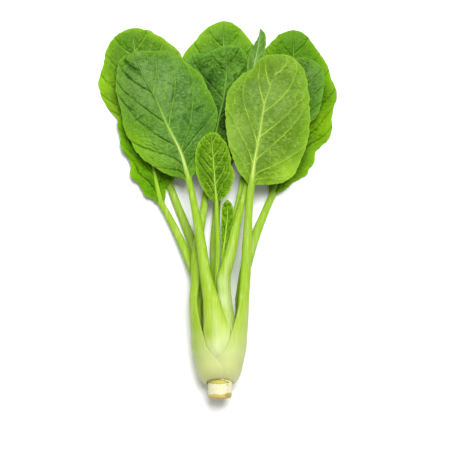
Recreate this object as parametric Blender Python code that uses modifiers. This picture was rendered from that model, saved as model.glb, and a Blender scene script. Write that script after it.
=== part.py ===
"""A head of green-stemmed leafy brassica as picked, lying on its side.

Fleshy leaf stalks clasp each other in a spiral and make a bulb on a cut root stub. Each leaf is one solid:
its base, its stalk and its round blade. The head points along +Y, with the cut end towards -Y, and it rests
on the flattened underside of the bulb and on the margins of its back leaves.

Lengths below are in millimetres. x and y are measured from the middle of the cut end, z from the surface
that the head lies on, and angles go round the bulb's axis in degrees, from 0 on top to +90 on the right.
"""

import math

import bmesh
import bpy
import numpy as np

MM = 0.001
HEAD_CENTRE = (-2.2, 155.0)  # middle of the head's outline in plan, which becomes the origin

# The bulb: its radius along y, the line of its axis, and how far a leaf base reaches round it to either side
AXIS_X = -0.6
AXIS_Z = 21.6
BULB_Y = (13.6, 15.0, 17.6, 22.4, 30.4, 38.4, 51.0, 70.0, 94.0)
BULB_RADIUS = (10.9, 12.7, 15.0, 17.5, 19.5, 21.4, 22.3, 23.1, 23.3)
CLASP_Y = (14.0, 22.0, 30.0, 38.0, 51.0, 64.0, 90.0)
CLASP_ANGLE = (86.0, 84.0, 73.0, 53.0, 40.5, 36.0, 30.0)
CLASP_OF_RANK = (1.0, 0.76, 0.76)  # inner bases reach less far round
WALL_OF_RADIUS = (0.235, 0.205, 0.165)  # thickness of a base in the outer, middle and inner ring
THIN_BASE = 1.1
WALL_RUN = 9.0  # length over which a base thickens from where it joins the crown
NEST_GAP = 1.2
DIP_START = 12.0  # a base lies low until this many degrees past the edge of the base above it
DIP_RUN = 18.0
HEART = 3  # rank of the leaves in the heart, which are stalks from the start
LEAVE_BULB = (47.0, 84.0)  # between these y a base turns into a free stalk

# Sections of stalk and blade
EDGE = 0.9  # thickness at the two edges of a stalk, and of the blade
RIB_LANES = 0.4  # share of the lanes along a leaf that make the midrib
RIB_SHARE = 0.7  # share of the stalk's width that goes on as the midrib
OUTER_SHARE = 0.6  # share of the thickness on the outer, rounder side of a stalk
STALK_SHAPE = 0.6  # power that rounds a stalk's section, and WALL_SHAPE that of a base
WALL_SHAPE = 0.8
FAN_START = 60.0  # the y from which the lanes of a stalk gather into the midrib
ROLL_START = 70.0  # between this y and this share of the stalk's end it turns to face as its blade does
ROLL_END = 0.85
RIB_TIP = 0.35  # half width of the midrib at the tip
RIB_TAPER = 1.2
RIB_BLEND = 0.1  # share of the blade over which the stalk's round back runs out into the midrib
UNDER_TAPER = 6  # power with which the inner side of the midrib fades
DROOP_SHAPE = 1.6
DROOP_FADE = 0.2  # share of the blade at either end without full droop
WAVE_FADE = (0.15, 0.12)  # the same for the waves, at the stalk and at the tip
STEP = 0.01  # share of a line's length over which its direction is read
SHARP_DEGREES = 50.0
LANES = np.linspace(-1, 1, 11)
HEART_LANES = np.linspace(-1, 1, 7)
BLADE_RINGS = (0.03, 0.08, 0.14, 0.21, 0.28, 0.35, 0.42, 0.5, 0.58, 0.66, 0.74, 0.82, 0.9, 0.96, 1.0)
HEART_BLADE_RINGS = BLADE_RINGS[::2]
BULB_RINGS = (14.2, 16.0, 18.5, 22.5, 26.5, 30.0, 33.0, 36.5, 41.0, 48.0, 57.0, 68.0, 80.0)
STALK_STEP = 19.0
OUTLINE_END = 0.985  # the outline stops this near the tip, which the midrib closes

# The cut stub and the crown inside the bulb, as radius and y, from the crown's top down to the cut face
STUB_PROFILE = (
    (0.0, 30.0),
    (1.6, 28.6),
    (3.2, 24.0),
    (5.3, 19.5),
    (7.3, 15.4),
    (7.9, 14.2),
    (9.6, 13.2),
    (9.8, 12.2),
    (9.2, 10.0),
    (9.0, 2.0),
    (8.7, 0.5),
    (8.1, 0.0),
    (0.0, 0.0),
)
STUB_SIDES = 26
MERGE = 0.00001  # metres within which the turned profile's ends are joined on its axis

STALK_GREEN = (0.46, 0.66, 0.12)
DEEP_GREEN = (0.05, 0.17, 0.03)
OLIVE_GREEN = (0.16, 0.32, 0.05)
BRIGHT_GREEN = (0.14, 0.38, 0.02)
STUB_CREAM = (0.80, 0.78, 0.52)
BLADE_COLOUR_AFTER = 2.0  # the blade's colour begins this far past the end of the stalk
STALK_ROUGHNESS = 0.35
BLADE_ROUGHNESS = 0.45
STUB_ROUGHNESS = 0.5


# Each leaf: turn is its angle round the bulb, rank its ring from 0 outside, start the y where it leaves the
# crown and face the angle that the outer side of its blade turns to. A stalk's rows are y, x, z of its
# middle, half width and thickness. The midrib's rows are x, y, z. The two margins, as seen from above, run
# from the stalk to the tip. Droop lowers the left and the right margin. Wave is the height of the margin's
# waves, waves their number on a side and scallop how far they swing out.
LEAVES = (
    dict(
        name="leaf_01", turn=-75, rank=0, start=14.2, face=0, colour=DEEP_GREEN,
        stalk=((80, -20.4, 26.4, 5.6, 6.4), (94, -19.2, 26, 5, 6), (118, -18.6, 24.5, 4, 5),
               (138, -15.4, 21.5, 3.4, 4.4), (158, -12.2, 18.2, 2.9, 3.6), (171, -10.6, 16.5, 2.6, 3)),
        rib=((-10.6, 171, 16.5), (-7.2, 198, 13.8), (-1.6, 224, 12.2), (4, 250, 11.6), (5.4, 274, 11.6),
             (5.4, 288, 12)),
        left=((-17, 184), (-23, 206), (-28, 230), (-31.5, 254), (-30, 273), (-22, 280.5), (-11, 281),
              (-2, 286)),
        right=((-2, 181), (10, 198), (19, 222), (24, 248), (25, 270), (21, 282), (14, 287)),
        droop=(1.5, 1.5), wave=0.9, waves=3, scallop=0.8,
    ),
    dict(
        name="leaf_02", turn=65, rank=0, start=14.2, face=0, colour=OLIVE_GREEN,
        stalk=((80, 18.6, 31, 6.4, 6.6), (94, 19.8, 32.5, 5.2, 6.2), (126, 21.6, 34, 3.7, 5.2),
               (158, 23.6, 34, 3, 4.4), (170, 25, 33.4, 2.8, 4)),
        rib=((25, 170, 33.4), (27.7, 190, 32.4), (32, 213, 30.4), (35.6, 235, 28.4), (41, 252, 26.8),
             (45.5, 265, 25.2), (46.5, 277.5, 23)),
        left=((19.5, 174), (11.5, 185), (8, 196), (5, 212), (4, 232), (6, 247), (14, 257), (26, 267),
              (36, 276.5)),
        right=((38, 169.5), (50, 171.5), (60, 179), (67, 194), (72, 212), (73, 233), (71.5, 251), (68, 265),
               (61, 274.5), (54, 277.5)),
        droop=(1.2, 4.5), wave=0.9, waves=5, scallop=0.6,
    ),
    dict(
        name="leaf_03", turn=-155, rank=0, start=14.2, face=-180, colour=BRIGHT_GREEN,
        stalk=((80, -9.5, 5, 5.4, 5.6), (100, -14, 4.8, 5, 5.4), (130, -24, 4.4, 4, 4.6),
               (160, -36, 4.2, 3.2, 4), (181, -44, 4.4, 2.8, 3.4)),
        rib=((-44, 181, 4.4), (-50, 208, 5), (-60, 242, 5.4), (-69, 277, 4.8), (-73, 304, 2.6)),
        left=((-56, 195), (-70, 212), (-84, 228), (-95, 239), (-100, 257), (-97.5, 273), (-93, 289),
              (-84, 300)),
        right=((-42, 206), (-38.5, 230), (-34, 252), (-31, 270), (-31.5, 282), (-38, 289), (-46, 295.5),
               (-60, 303)),
        droop=(4, 3.4), wave=0.9, waves=4, scallop=0.9,
    ),
    dict(
        name="leaf_04", turn=-5, rank=1, start=18.5, face=0, colour=DEEP_GREEN,
        stalk=((78, -6.8, 40.6, 6.6, 6.8), (94, -10.5, 39.8, 4.9, 6.4), (126, -15.5, 36.5, 3.9, 5.6),
               (158, -21.4, 32, 2.9, 4.6), (175, -25.2, 29.4, 2.7, 4.2)),
        rib=((-25.2, 175, 29.4), (-32.6, 199, 26.4), (-41.8, 217, 24.4), (-52.6, 242, 21.4),
             (-64, 264, 18.4), (-71, 281, 15.6)),
        left=((-40, 178), (-52, 184), (-64, 194), (-74, 208), (-79.5, 225), (-83.5, 244), (-85.5, 257),
              (-82, 273), (-77, 279)),
        right=((-19, 181), (-12, 199), (-4, 216), (-1.5, 227), (-4, 238), (-9, 251), (-17, 264), (-28, 274),
               (-42, 282.5), (-57, 283)),
        droop=(4, 6), wave=0.9, waves=5, scallop=0.7,
    ),
    dict(
        name="leaf_05", turn=120, rank=1, start=18.5, face=180, colour=BRIGHT_GREEN,
        stalk=((80, 16, 9.6, 6, 6), (100, 19.5, 8, 5, 5.4), (130, 28, 6, 4, 4.4),
               (150, 36, 5.2, 3.3, 3.8), (166, 43, 5.2, 2.9, 3.4)),
        rib=((43, 166, 5.2), (50, 193, 6), (57, 227, 6.4), (60, 260, 6), (60.4, 286, 4.4),
             (60.6, 302.5, 2.4)),
        left=((37, 184), (33, 209), (31, 238), (32, 263), (35.4, 284), (43, 293.5), (51, 300)),
        right=((59, 173), (68, 180), (76, 191), (83, 203), (90, 217), (94.5, 232), (94.6, 248),
               (91.4, 264.4), (83.5, 278), (77, 289), (69, 299.4)),
        droop=(0.5, 4.4), wave=1.2, waves=5, scallop=1.5,
    ),
    dict(
        name="leaf_06", turn=-103, rank=1, start=18.5, face=-180, colour=BRIGHT_GREEN,
        stalk=((80, -16, 15.8, 4.2, 5), (100, -21, 13, 4, 4.8), (130, -33, 9, 3.5, 4),
               (146, -41, 7.6, 3.1, 3.6), (158.5, -48, 7.4, 2.8, 3.2)),
        rib=((-48, 158.5, 7.4), (-52, 176, 9.2), (-56, 198, 11), (-58, 222, 11.6), (-60, 245, 11.2)),
        left=((-62, 166), (-70.5, 176), (-75.5, 191), (-81, 205), (-84.5, 218), (-82, 230), (-73, 241)),
        right=((-43, 168), (-36, 182), (-31, 202), (-34, 222), (-43, 238), (-51, 244)),
        droop=(2.4, 2), wave=1.1, waves=5, scallop=1.1,
    ),
    dict(
        name="leaf_07", turn=35, rank=2, start=24, face=0, colour=OLIVE_GREEN,
        stalk=((80, 3.8, 31.6, 6, 6), (94, 3, 33, 5.8, 5.8), (114, 8.2, 33.5, 4.7, 5.4),
               (138, 13.2, 31, 3.4, 4.6), (158, 18.2, 27, 2.6, 4), (171, 21.6, 24.2, 2.4, 3.6)),
        rib=((21.6, 171, 24.2), (33.6, 198, 22), (45.6, 226, 20), (56, 256, 17.6), (61.5, 276, 16)),
        left=((19, 186), (17, 206), (19, 226), (27, 241), (38, 254), (50, 269)),
        right=((36, 180), (52, 192), (64, 206), (73, 221.5), (80.5, 231), (84, 246), (85, 260), (81.6, 271),
               (72, 276.5)),
        droop=(1.2, 2.6), wave=0.7, waves=4, scallop=0.7,
    ),
    dict(
        name="leaf_08", turn=175, rank=2, start=26.5, face=180, colour=BRIGHT_GREEN,
        stalk=((80, -1, 12, 4.8, 5), (100, -3.4, 9.4, 4.2, 4.6), (126, -4.4, 7.4, 3.6, 4),
               (150, -3, 6.4, 3, 3.5), (176, -1, 6, 2.6, 3.2)),
        rib=((-1, 176, 6), (0, 208, 6.2), (2.6, 250, 6), (3, 284, 5), (2.8, 310, 3)),
        left=((-15, 195), (-28, 219), (-35, 243), (-35, 265), (-30, 282), (-21.7, 292.5), (-14.6, 301),
              (-6, 307.4)),
        right=((14, 197), (26, 220), (32.5, 247), (31.5, 274), (26.4, 293), (20, 301.4), (11.4, 308)),
        droop=(0.8, 4.4), wave=0.9, waves=4, scallop=0.7,
    ),
    dict(
        name="leaf_09", turn=-50, rank=3, start=34, face=0, colour=BRIGHT_GREEN,
        stalk=((34, -2.6, 23.4, 1.9, 2.8), (60, -2.6, 25, 2, 3), (98, -2.4, 27.6, 2, 2.9),
               (118, -1.7, 29, 2, 2.8), (138, -2.3, 30.2, 1.7, 2.6), (156, -2.8, 30.6, 1.6, 2.4)),
        rib=((-2.8, 156, 30.6), (-3.8, 168, 30.1), (-5.2, 188, 29), (-6.3, 202, 28), (-7.4, 213, 27)),
        left=((-11.4, 161.5), (-15.5, 170), (-20, 181), (-20.6, 191), (-18.5, 202), (-13, 210)),
        right=((5, 160.5), (9.5, 168), (12, 177.5), (9.5, 187), (7.5, 199), (3.5, 207), (-2, 212)),
        droop=(-0.5, 1), wave=0.4, waves=2, scallop=0.3,
    ),
    dict(
        name="leaf_10", turn=80, rank=3, start=34, face=0, colour=OLIVE_GREEN,
        stalk=((34, 2.6, 21.2, 1.9, 2.8), (60, 3, 20.6, 1.9, 2.8), (80, 4, 20.4, 1.9, 2.8),
               (100, 5.5, 21.4, 1.9, 2.8), (124, 7, 22.8, 1.9, 2.8), (150, 12.2, 22.2, 1.8, 2.6),
               (171, 17.2, 19.2, 1.8, 2.6), (198, 20.6, 16.8, 1.7, 2.4), (226, 23, 15.4, 1.6, 2.2),
               (250, 25.2, 15, 1.4, 2.2)),
        rib=((25.2, 250, 15), (28, 271, 14.4), (31.6, 289, 13.8), (33.8, 301, 14.6)),
        left=((21.5, 264), (22.5, 276), (26.5, 288), (30.3, 297)),
        right=((32.5, 261), (35.7, 272), (37.4, 284), (37.2, 295)),
        droop=(-3.4, -4.2), wave=0.4, waves=2, scallop=0.3,
    ),
    dict(
        name="leaf_11", turn=-140, rank=3, start=34, face=-180, colour=BRIGHT_GREEN,
        stalk=((34, -0.4, 17.6, 1.4, 2.2), (60, 0, 18, 1.4, 2.2), (90, 0.8, 22.2, 1.4, 2.2),
               (105, 1.7, 25.2, 1.4, 2.2), (118, 2.7, 27.2, 1.3, 2.2)),
        rib=((2.7, 118, 27.2), (4.8, 134, 28.4), (6, 146, 29.6), (5.4, 158, 30.8)),
        left=((0.7, 127), (0.7, 138), (1.1, 148), (2.4, 155)),
        right=((7, 128), (10, 138), (11.4, 147), (9.4, 155)),
        droop=(0.4, 0.8), wave=0.5, waves=2, scallop=0.4,
    ),
)


def smoothstep(value):
    value = np.clip(value, 0, 1)
    return value * value * (3 - 2 * value)


def curve(knots, values, at):
    """Reads a smooth curve that passes through the values at their knots."""
    knots = np.asarray(knots, float)
    values = np.asarray(values, float).reshape(len(knots), -1)
    slopes = np.gradient(values, knots, axis=0)
    at = np.clip(np.asarray(at, float), knots[0], knots[-1])
    i = np.clip(np.searchsorted(knots, at, side="right") - 1, 0, len(knots) - 2)
    run = (knots[i + 1] - knots[i])[..., None]
    u = (at - knots[i])[..., None] / run
    start = values[i] * (1 + 2 * u) * (1 - u) ** 2 + slopes[i] * run * u * (1 - u) ** 2
    return start + values[i + 1] * u * u * (3 - 2 * u) + slopes[i + 1] * run * u * u * (u - 1)


def trace(points, share):
    """The point at each share of the length of a smooth line through the points."""
    points = np.asarray(points, float)
    lengths = np.linalg.norm(np.diff(points, axis=0), axis=1)
    knots = np.concatenate([[0], np.cumsum(lengths)])
    return curve(knots / knots[-1], points, share)


def clasp(leaf, y):
    return CLASP_OF_RANK[leaf["rank"]] * curve(CLASP_Y, CLASP_ANGLE, y)[..., 0]


def bulb_radius(y):
    return curve(BULB_Y, BULB_RADIUS, y)[..., 0]


def wall(leaf, y, share):
    """Thickness of a leaf base: fleshy in the middle, thin at its edges and where it leaves the crown."""
    full = WALL_OF_RADIUS[leaf["rank"]] * bulb_radius(y)
    middle = THIN_BASE + (full - THIN_BASE) * smoothstep((y - leaf["start"] + 1) / WALL_RUN)
    return EDGE + (middle - EDGE) * np.clip(1 - share**2, 0, 1) ** WALL_SHAPE


def depth(order, y, angle):
    """How far a base's outer face lies below the bulb's surface: it dips under every older base."""
    found = np.zeros_like(angle)
    for older in range(order):
        leaf = LEAVES[older]
        turned = (angle - leaf["turn"] + 180) % 360 - 180
        reach = clasp(leaf, y)
        past_edge = np.abs(turned) - reach
        cover = 1 - smoothstep((past_edge - DIP_START) / DIP_RUN)
        under = depth(older, y, angle) + wall(leaf, y, turned / reach) + NEST_GAP
        found = np.maximum(found, cover * under)
    return found


def lane_shares(lanes, packed):
    """Each lane's place across the stalk: even round the bulb, and fanned out ready for the blade."""
    across = np.abs(lanes)
    in_rib = across / RIB_LANES * RIB_SHARE
    in_blade = RIB_SHARE + (1 - RIB_SHARE) * (across - RIB_LANES) / (1 - RIB_LANES)
    ready = np.sign(lanes) * np.where(across <= RIB_LANES, in_rib, in_blade)
    return lanes + (ready - lanes) * packed


def bulb_ring(order, y, shares):
    """Outer and inner face of a leaf base at one y, nested in the bulb."""
    leaf = LEAVES[order]
    angle = leaf["turn"] + clasp(leaf, y) * shares
    outer = bulb_radius(y) - depth(order, y, angle)
    inner = outer - wall(leaf, y, shares)
    turned = np.radians(angle)
    return [
        np.stack([AXIS_X + r * np.sin(turned), np.full_like(r, y), AXIS_Z + r * np.cos(turned)], axis=1)
        for r in (outer, inner)
    ]


def section(half_thick, shares):
    """Height of a stalk's face above its middle plane."""
    return EDGE / 2 + (half_thick - EDGE / 2) * np.clip(1 - shares**2, 0, 1) ** STALK_SHAPE


def stalk_ring(leaf, y, shares):
    """Outer and inner face of the free stalk at one y."""
    rows = np.asarray(leaf["stalk"], float)
    x, z, half_width, thick = curve(rows[:, 0], rows[:, 1:], y)
    base_y = rows[-1, 0]
    turned = smoothstep((y - ROLL_START) / (ROLL_END * base_y - ROLL_START))
    roll = math.radians(leaf["turn"] + (leaf["face"] - leaf["turn"]) * turned)
    side = np.array([math.cos(roll), 0, -math.sin(roll)])
    out = np.array([math.sin(roll), 0, math.cos(roll)])
    middle = np.array([x, y, z]) + side * (half_width * shares)[:, None]
    outer = middle + out * section(thick * OUTER_SHARE, shares)[:, None]
    inner = middle - out * section(thick * (1 - OUTER_SHARE), shares)[:, None]
    return [outer, inner]


def base_ring(order, y, lanes):
    """Outer and inner face anywhere between the crown and the blade."""
    leaf = LEAVES[order]
    base_y = leaf["stalk"][-1][0]
    shares = lane_shares(lanes, smoothstep((y - FAN_START) / (base_y - FAN_START)))
    if leaf["rank"] == HEART:
        return stalk_ring(leaf, y, shares)
    free = smoothstep((y - LEAVE_BULB[0]) / (LEAVE_BULB[1] - LEAVE_BULB[0]))
    nested = bulb_ring(order, y, shares)
    return [a + (b - a) * free for a, b in zip(nested, stalk_ring(leaf, y, shares))]


def ripple(leaf, side, share):
    """The waves along a margin, which fade out at the stalk and at the tip."""
    fade = smoothstep(share / WAVE_FADE[0]) * smoothstep((1 - share) / WAVE_FADE[1])
    return fade * math.sin(2 * math.pi * (leaf["waves"] * share + 0.25 * side))


def margin(leaf, side, share):
    """The blade's margin on one side, from the edge of the stalk to the tip."""
    rib = np.asarray(leaf["rib"], float)
    _, _, _, half_width, _ = leaf["stalk"][-1]
    along = rib[1, :2] - rib[0, :2]
    along /= np.linalg.norm(along)
    start = rib[0, :2] + side * half_width * np.array([along[1], -along[0]])
    points = [start, *leaf["right" if side > 0 else "left"], rib[-1, :2]]
    share = share * OUTLINE_END
    ahead = trace(points, share + STEP) - trace(points, share - STEP)
    outward = side * np.array([ahead[1], -ahead[0]]) / np.hypot(*ahead)
    return trace(points, share) + outward * leaf["scallop"] * ripple(leaf, side, share)


def blade_ring(leaf, share, lanes):
    """Outer and inner face of the blade along one line from margin to margin."""
    up = 1 if leaf["face"] == 0 else -1
    _, _, _, half_width, thick = leaf["stalk"][-1]
    rib = trace(leaf["rib"], share)
    ahead = trace(leaf["rib"], min(share + STEP, 1)) - trace(leaf["rib"], max(share - STEP, 0))
    across = np.array([ahead[1], -ahead[0]]) / np.hypot(ahead[0], ahead[1])
    taper = (1 - share) ** RIB_TAPER
    rib_half = RIB_TIP + (RIB_SHARE * half_width - RIB_TIP) * taper
    flattened = RIB_SHARE**2 + (1 - RIB_SHARE**2) * min(share / RIB_BLEND, 1)
    middle, outer_lift, inner_lift = [], [], []
    for lane in lanes:
        side = up * (1 if lane > 0 else -1)
        in_blade = max(0, (abs(lane) - RIB_LANES) / (1 - RIB_LANES))
        in_rib = min(abs(lane) / RIB_LANES, 1)
        edge = rib[:2] + side * rib_half * in_rib * across
        spot = edge + (margin(leaf, side, share) - edge) * in_blade
        bend = smoothstep(share / DROOP_FADE) * smoothstep((1 - share) / DROOP_FADE)
        droop = leaf["droop"][1 if side > 0 else 0] * in_blade**DROOP_SHAPE * bend
        z = rib[2] - droop + leaf["wave"] * in_blade**2 * ripple(leaf, side, share)
        middle.append((spot[0], spot[1], max(z, EDGE / 2)))
        rise = (1 - (in_rib if in_blade == 0 else 1) ** 2 * flattened) * (1 - in_blade)
        outer = (OUTER_SHARE * thick - EDGE / 2) * taper
        inner = ((1 - OUTER_SHARE) * thick - EDGE / 2) * (1 - share) ** UNDER_TAPER
        outer_lift.append(EDGE / 2 + outer * rise**STALK_SHAPE)
        inner_lift.append(EDGE / 2 + inner * rise**STALK_SHAPE)
    middle = np.array(middle)
    out = np.array([0, 0, up])
    return [middle + out * np.array(outer_lift)[:, None], middle - out * np.array(inner_lift)[:, None]]


def leaf_faces(order):
    """The leaf's outer and inner face as two grids of points, ring by ring from the crown to the tip."""
    leaf = LEAVES[order]
    in_heart = leaf["rank"] == HEART
    lanes = HEART_LANES if in_heart else LANES
    base_y = leaf["stalk"][-1][0]
    nested = [leaf["start"]]
    if not in_heart:
        nested += [y for y in BULB_RINGS if y > leaf["start"] + 1]
    free = np.linspace(nested[-1], base_y, round((base_y - nested[-1]) / STALK_STEP) + 1)[1:]
    rings = [base_ring(order, y, lanes) for y in (*nested, *free)]
    rings += [blade_ring(leaf, share, lanes) for share in (HEART_BLADE_RINGS if in_heart else BLADE_RINGS)]
    outer, inner = (np.array([ring[k] for ring in rings]) for k in (0, 1))
    for face in (outer, inner):
        np.maximum(face[..., 2], 0, out=face[..., 2])
    return outer, inner


def closed_mesh(name, outer, inner):
    """One closed mesh from two grids, split into triangles alike on both faces, with walls all round."""
    rings, lanes = outer.shape[:2]
    mesh = bpy.data.meshes.new(name)
    bm = bmesh.new()
    offset = np.array([*HEAD_CENTRE, 0])
    rows = [[[bm.verts.new((p - offset) * MM) for p in ring] for ring in face] for face in (outer, inner)]
    for face in rows:
        for i in range(rings - 1):
            for j in range(lanes - 1):
                a, b, c, d = face[i][j], face[i][j + 1], face[i + 1][j + 1], face[i + 1][j]
                bm.faces.new((a, b, c) if face is rows[0] else (a, c, b))
                bm.faces.new((a, c, d) if face is rows[0] else (a, d, c))
    top, bottom = rows
    rim = [(0, j) for j in range(lanes)]
    rim += [(i, lanes - 1) for i in range(1, rings)]
    rim += [(rings - 1, j) for j in range(lanes - 2, -1, -1)]
    rim += [(i, 0) for i in range(rings - 2, 0, -1)]
    for (i, j), (k, m) in zip(rim, rim[1:] + rim[:1]):
        bm.faces.new((top[k][m], top[i][j], bottom[i][j]))
        bm.faces.new((top[k][m], bottom[i][j], bottom[k][m]))
    if bm.calc_volume(signed=True) < 0:
        bmesh.ops.reverse_faces(bm, faces=bm.faces)
    bm.to_mesh(mesh)
    bm.free()
    mesh.shade_smooth()
    mesh.set_sharp_from_angle(angle=math.radians(SHARP_DEGREES))
    return mesh


def plain_material(name, colour, roughness):
    material = bpy.data.materials.new(name)
    material.use_nodes = True
    shader = material.node_tree.nodes["Principled BSDF"]
    shader.inputs["Base Color"].default_value = (*colour, 1)
    shader.inputs["Roughness"].default_value = roughness
    shader.inputs["Metallic"].default_value = 0
    return material


def add_leaf(order, collection):
    """A leaf with two materials: the pale stalk, and the blade with its green."""
    leaf = LEAVES[order]
    outer, inner = leaf_faces(order)
    mesh = closed_mesh(leaf["name"], outer, inner)
    mesh.materials.append(plain_material(leaf["name"] + "_stalk", STALK_GREEN, STALK_ROUGHNESS))
    mesh.materials.append(plain_material(leaf["name"] + "_blade", leaf["colour"], BLADE_ROUGHNESS))
    blade_y = (leaf["stalk"][-1][0] + BLADE_COLOUR_AFTER - HEAD_CENTRE[1]) * MM
    for face in mesh.polygons:
        face.material_index = int(face.center.y > blade_y)
    obj = bpy.data.objects.new(leaf["name"], mesh)
    collection.objects.link(obj)


def add_stem_base(collection):
    """The cut stub and the crown, a turned solid whose axis lies along the bulb's."""
    mesh = bpy.data.meshes.new("stem_base")
    points = [(r * MM, 0, y * MM) for r, y in STUB_PROFILE]
    mesh.from_pydata(points, [(i, i + 1) for i in range(len(points) - 1)], [])
    mesh.materials.append(plain_material("stem_base_flesh", STUB_CREAM, STUB_ROUGHNESS))
    obj = bpy.data.objects.new("stem_base", mesh)
    collection.objects.link(obj)
    turn = obj.modifiers.new("turn", "SCREW")
    turn.axis = "Z"
    turn.steps = turn.render_steps = STUB_SIDES
    turn.use_merge_vertices = True
    turn.merge_threshold = MERGE
    obj.rotation_euler = (math.radians(-90), 0, 0)
    obj.location = ((AXIS_X - HEAD_CENTRE[0]) * MM, -HEAD_CENTRE[1] * MM, AXIS_Z * MM)


def main():
    for obj in list(bpy.data.objects):
        bpy.data.objects.remove(obj)
    collection = bpy.data.collections.new("leafy_brassica_head")
    bpy.context.scene.collection.children.link(collection)
    add_stem_base(collection)
    for order in range(len(LEAVES)):
        add_leaf(order, collection)


main()
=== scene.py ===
"""Looks of a head of green-stemmed leafy brassica that lies on its side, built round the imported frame.

Every leaf is one closed mesh with its nested base, its stalk and its veined blade, and it stands for the
CAD node of its name. Lengths in the tables are in millimetres. x and y are measured from the middle of the
cut end, z from the surface that the head lies on, and angles go round the bulb's axis in degrees, from 0 on
top to +90 on the right.
"""

import math
from types import SimpleNamespace as Row

import bpy
import numpy as np
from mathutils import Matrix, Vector


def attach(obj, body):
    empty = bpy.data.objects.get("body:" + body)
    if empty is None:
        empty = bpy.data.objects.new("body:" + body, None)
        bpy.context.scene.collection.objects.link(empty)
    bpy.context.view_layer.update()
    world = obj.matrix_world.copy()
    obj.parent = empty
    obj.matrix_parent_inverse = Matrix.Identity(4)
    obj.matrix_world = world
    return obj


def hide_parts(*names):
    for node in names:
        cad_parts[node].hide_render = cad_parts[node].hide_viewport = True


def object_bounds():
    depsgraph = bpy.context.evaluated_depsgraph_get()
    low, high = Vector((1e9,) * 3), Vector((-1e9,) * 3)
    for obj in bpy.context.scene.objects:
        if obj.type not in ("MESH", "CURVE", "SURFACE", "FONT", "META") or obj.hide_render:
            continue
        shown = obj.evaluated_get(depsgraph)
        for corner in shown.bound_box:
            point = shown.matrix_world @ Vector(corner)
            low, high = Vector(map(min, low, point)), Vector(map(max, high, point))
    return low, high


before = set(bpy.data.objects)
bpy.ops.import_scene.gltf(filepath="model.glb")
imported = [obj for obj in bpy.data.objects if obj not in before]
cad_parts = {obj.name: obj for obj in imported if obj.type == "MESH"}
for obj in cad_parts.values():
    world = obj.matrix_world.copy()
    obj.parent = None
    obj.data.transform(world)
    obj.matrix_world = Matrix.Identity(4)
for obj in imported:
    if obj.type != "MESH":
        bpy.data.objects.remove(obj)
CAD_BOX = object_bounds()

MM = 0.001
ORIGIN = np.array([-2.2, 155.0, 0.0])  # the frame's origin, in the middle of the head in plan

# The bulb: its radius along y, the line of its axis, and how far a leaf base reaches round to either side
AXIS_X = -0.6
AXIS_Z = 21.6
BULB_Y = (13.6, 15.0, 17.6, 22.4, 30.4, 38.4, 51.0, 70.0, 94.0)
BULB_RADIUS = (10.9, 12.7, 15.0, 17.5, 19.5, 21.4, 22.3, 23.1, 23.3)
CLASP_Y = (14.0, 22.0, 30.0, 38.0, 51.0, 64.0, 90.0)
CLASP_ANGLE = (86.0, 84.0, 73.0, 53.0, 40.5, 36.0, 30.0)
CLASP_OF_RANK = (1.0, 0.76, 0.76)  # inner bases reach less far round
WALL_OF_RADIUS = (0.235, 0.205, 0.165)  # thickness of a base in each ring, as a share of the radius
THIN_BASE = 0.8  # thickness where it joins the crown
WALL_RUN = 9.0  # length over which a base thickens from the crown
WALL_SHAPE = 0.8  # power that rounds a base's section
NEST_GAP = 0.35
DIP_START = 3.0  # a base lies low until this many degrees past the edge of the base above
DIP_RUN = 15.0  # and comes up over this many
HEART = 3  # rank of the leaves in the heart, which are stalks from the start
LEAVE_BULB = (47.0, 84.0)  # between these y a base turns into a free stalk
FOOT_RISE = 4.0  # by which the outer bases start further from the cut end on top than at the sides
FOOT_DROP = 2.2  # by which all of them start nearer to it
FOOT_END = 30.0  # y where both have faded out

# Stalks: thicknesses, and the lanes of points across them, of which the middle ones go on as the midrib
EDGE = 0.6  # thickness at the two edges of a stalk
RIB_LANES = 0.4  # share of the lanes that make the midrib
RIB_SHARE = 0.7  # share of the stalk's width that goes on as the midrib
OUTER_SHARE = 0.6  # share of the thickness on the outer, rounder side
STALK_SHAPE = 0.6  # power that rounds a stalk's section
FAN_START = 60.0  # the y from which the lanes gather into the midrib
ROLL_START = 70.0  # from this y to this share of its end a stalk turns to face as its blade does
ROLL_END = 0.85
FLUTE = 0.1  # height of fine ridges along a stalk, and their half waves from middle to edge
FLUTES = 7
FLUTE_START = 25.0
FLUTE_RUN = 30.0
FOOT_RUN = 20.0  # length of the foot, which has closer rows of points
FOOT_ROWS = 22
STALK_STEP = 1.7
SEAM = 1e-6  # tolerance in comparing the places of lanes

# Blades: thicknesses, the midrib, and how the waves fade out at both ends
BLADE = 0.45
RIM_THICK = 0.2
RIM_START = 0.93  # share of the way to the margin where the blade starts to thin
RIB_TIP = 0.15  # half width of the midrib at the tip
RIB_TAPER = 1.2
RIB_BLEND = 0.1  # share of the blade over which the stalk's round back runs out
UNDER_TAPER = 6  # power with which the inner side of the midrib fades
DROOP_SHAPE = 1.6
DROOP_FADE = 0.2  # share of the blade at either end without full droop
WAVE_FADE = (0.15, 0.12)  # the same for the waves of a margin, at the stalk and at the tip
VEIN_HALF = 0.8  # half width of the ridge along a side vein
OUTLINE_END = 0.995  # share of the way to the tip that a margin runs
STEP = 0.01  # share of a line's length over which its direction is read
NET_STRETCH = 1.8  # by which the cells between fine veins are longer across the leaf than along it
NET_BEND = 0.12  # how far those cells' sides bend, and how unevenly they lie, as shares of their size
NET_JITTER = 0.45
NICK_LENGTH = 9.0
SWAY_LENGTH = 34
PATCH_LENGTH = 26  # of the patches in which the blade is more or less puffed
UNEVEN_LENGTH = 20  # of the stretches in which the veins show more or less
SEED = 11  # of the first leaf, and each leaf adds one

# Light in the scene, as it shows on a surface: the white that gloss adds, and how bright white turns out
GLOSS = 0.02
BRIGHT = 1.3

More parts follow.
